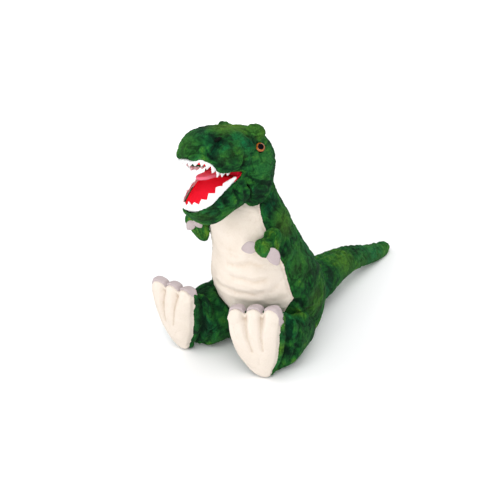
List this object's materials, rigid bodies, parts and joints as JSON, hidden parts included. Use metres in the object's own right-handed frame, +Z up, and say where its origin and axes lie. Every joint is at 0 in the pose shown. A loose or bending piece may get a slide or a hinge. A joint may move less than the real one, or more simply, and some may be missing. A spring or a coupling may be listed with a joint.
{
  "type": "stuffed dinosaur",
  "caption": "Seated plush dinosaur with an open toothed mouth, short clawed arms, big cream soles and a long tapering tail.",
  "frame": {"origin": "centre of the flat seat that the toy rests on", "axes": "+Z up; the belly faces -Y; the toy's own left side is +X; the tail points along +Y"},
  "size_m": [0.1717, 0.4026, 0.2829],
  "materials": {
    "green_plush": "short brushed plush, dark and mid green patches",
    "lime_plush": "short brushed plush, lime and mid green",
    "cream_plush": "short soft cream plush",
    "claw_felt": "pale grey-mauve felt",
    "tooth_felt": "white felt",
    "red_lining": "bright red smooth cloth",
    "pink_felt": "pink felt",
    "eye_plastic": "amber and black, polished",
    "washer_plastic": "moulded, plain",
    "black_thread": "satin stitch",
    "fibre_fill": "loose polyester fibre",
    "bag_cloth": "plain cotton bag of pellets"
  },
  "bodies": {
    "torso": {"belly_panel": "cream_plush", "body_back_left": "green_plush", "body_back_right": "green_plush", "body_stuffing": "fibre_fill", "pellet_bag": "bag_cloth"},
    "neck": {"neck_skin": "green_plush", "neck_stuffing": "fibre_fill"},
    "head": {"head_top": "green_plush", "head_side_left": "green_plush", "head_side_right": "green_plush", "brow_left": "green_plush", "brow_right": "green_plush", "nostrils": "black_thread", "eye_left": "eye_plastic", "eye_right": "eye_plastic", "eye_washer_left": "washer_plastic", "eye_washer_right": "washer_plastic", "palate_lining": "red_lining", "throat_lining": "red_lining", "tongue": "pink_felt", "upper_teeth_left": "tooth_felt", "upper_teeth_right": "tooth_felt", "head_stuffing": "fibre_fill"},
    "jaw": {"jaw_skin": "green_plush", "jaw_stuffing": "fibre_fill", "mouth_floor_lining": "red_lining", "lower_teeth_left": "tooth_felt", "lower_teeth_right": "tooth_felt"},
    "tail": {"tail_skin_left": "green_plush", "tail_skin_right": "green_plush", "tail_stuffing": "fibre_fill"},
    "arm_left": {"arm_skin_left": "lime_plush", "arm_stuffing_left": "fibre_fill", "arm_claws_left": "claw_felt"},
    "leg_left": {"leg_skin_left": "green_plush", "leg_stuffing_left": "fibre_fill", "foot_skin_left": "green_plush", "foot_stuffing_left": "fibre_fill", "sole_left": "cream_plush", "toe_claws_left": "claw_felt"},
    "arm_right": {"arm_skin_right": "lime_plush", "arm_stuffing_right": "fibre_fill", "arm_claws_right": "claw_felt"},
    "leg_right": {"leg_skin_right": "green_plush", "leg_stuffing_right": "fibre_fill", "foot_skin_right": "green_plush", "foot_stuffing_right": "fibre_fill", "sole_right": "cream_plush", "toe_claws_right": "claw_felt"}
  },
  "joints": [
    {"name": "neck_turn", "type": "hinge", "parent": "torso", "child": "neck", "pos_m": [0, -0.063, 0.21], "axis": [0, 0, 1], "range_deg": [-20, 32], "stiffness_Nm_per_rad": 1.2},
    {"name": "neck_nod", "type": "hinge", "parent": "neck", "child": "head", "pos_m": [0, -0.063, 0.21], "axis": [1, 0, 0], "range_deg": [-14, 6], "stiffness_Nm_per_rad": 1.6},
    {"name": "jaw_close", "type": "hinge", "parent": "head", "child": "jaw", "pos_m": [-0.0025, -0.0985, 0.235], "axis": [-0.9433, 0.244, -0.225], "range_deg": [-3, 18], "stiffness_Nm_per_rad": 0.25},
    {"name": "shoulder_left_swing", "type": "hinge", "parent": "torso", "child": "arm_left", "pos_m": [0.042, -0.076, 0.163], "axis": [-1, 0, 0], "range_deg": [-20, 20], "stiffness_Nm_per_rad": 0.05},
    {"name": "shoulder_right_swing", "type": "hinge", "parent": "torso", "child": "arm_right", "pos_m": [-0.038, -0.074, 0.151], "axis": [-1, 0, 0], "range_deg": [-20, 20], "stiffness_Nm_per_rad": 0.05},
    {"name": "hip_left_spread", "type": "hinge", "parent": "torso", "child": "leg_left", "pos_m": [0.039, -0.036, 0.038], "axis": [0, 0, 1], "range_deg": [-2, 20], "stiffness_Nm_per_rad": 0.8},
    {"name": "hip_right_spread", "type": "hinge", "parent": "torso", "child": "leg_right", "pos_m": [-0.039, -0.036, 0.038], "axis": [0, 0, -1], "range_deg": [-2, 20], "stiffness_Nm_per_rad": 0.8},
    {"name": "tail_sway", "type": "hinge", "parent": "torso", "child": "tail", "pos_m": [0, 0.044, 0.033], "axis": [0, 0, 1], "range_deg": [-15, 15], "stiffness_Nm_per_rad": 0.6}
  ]
}
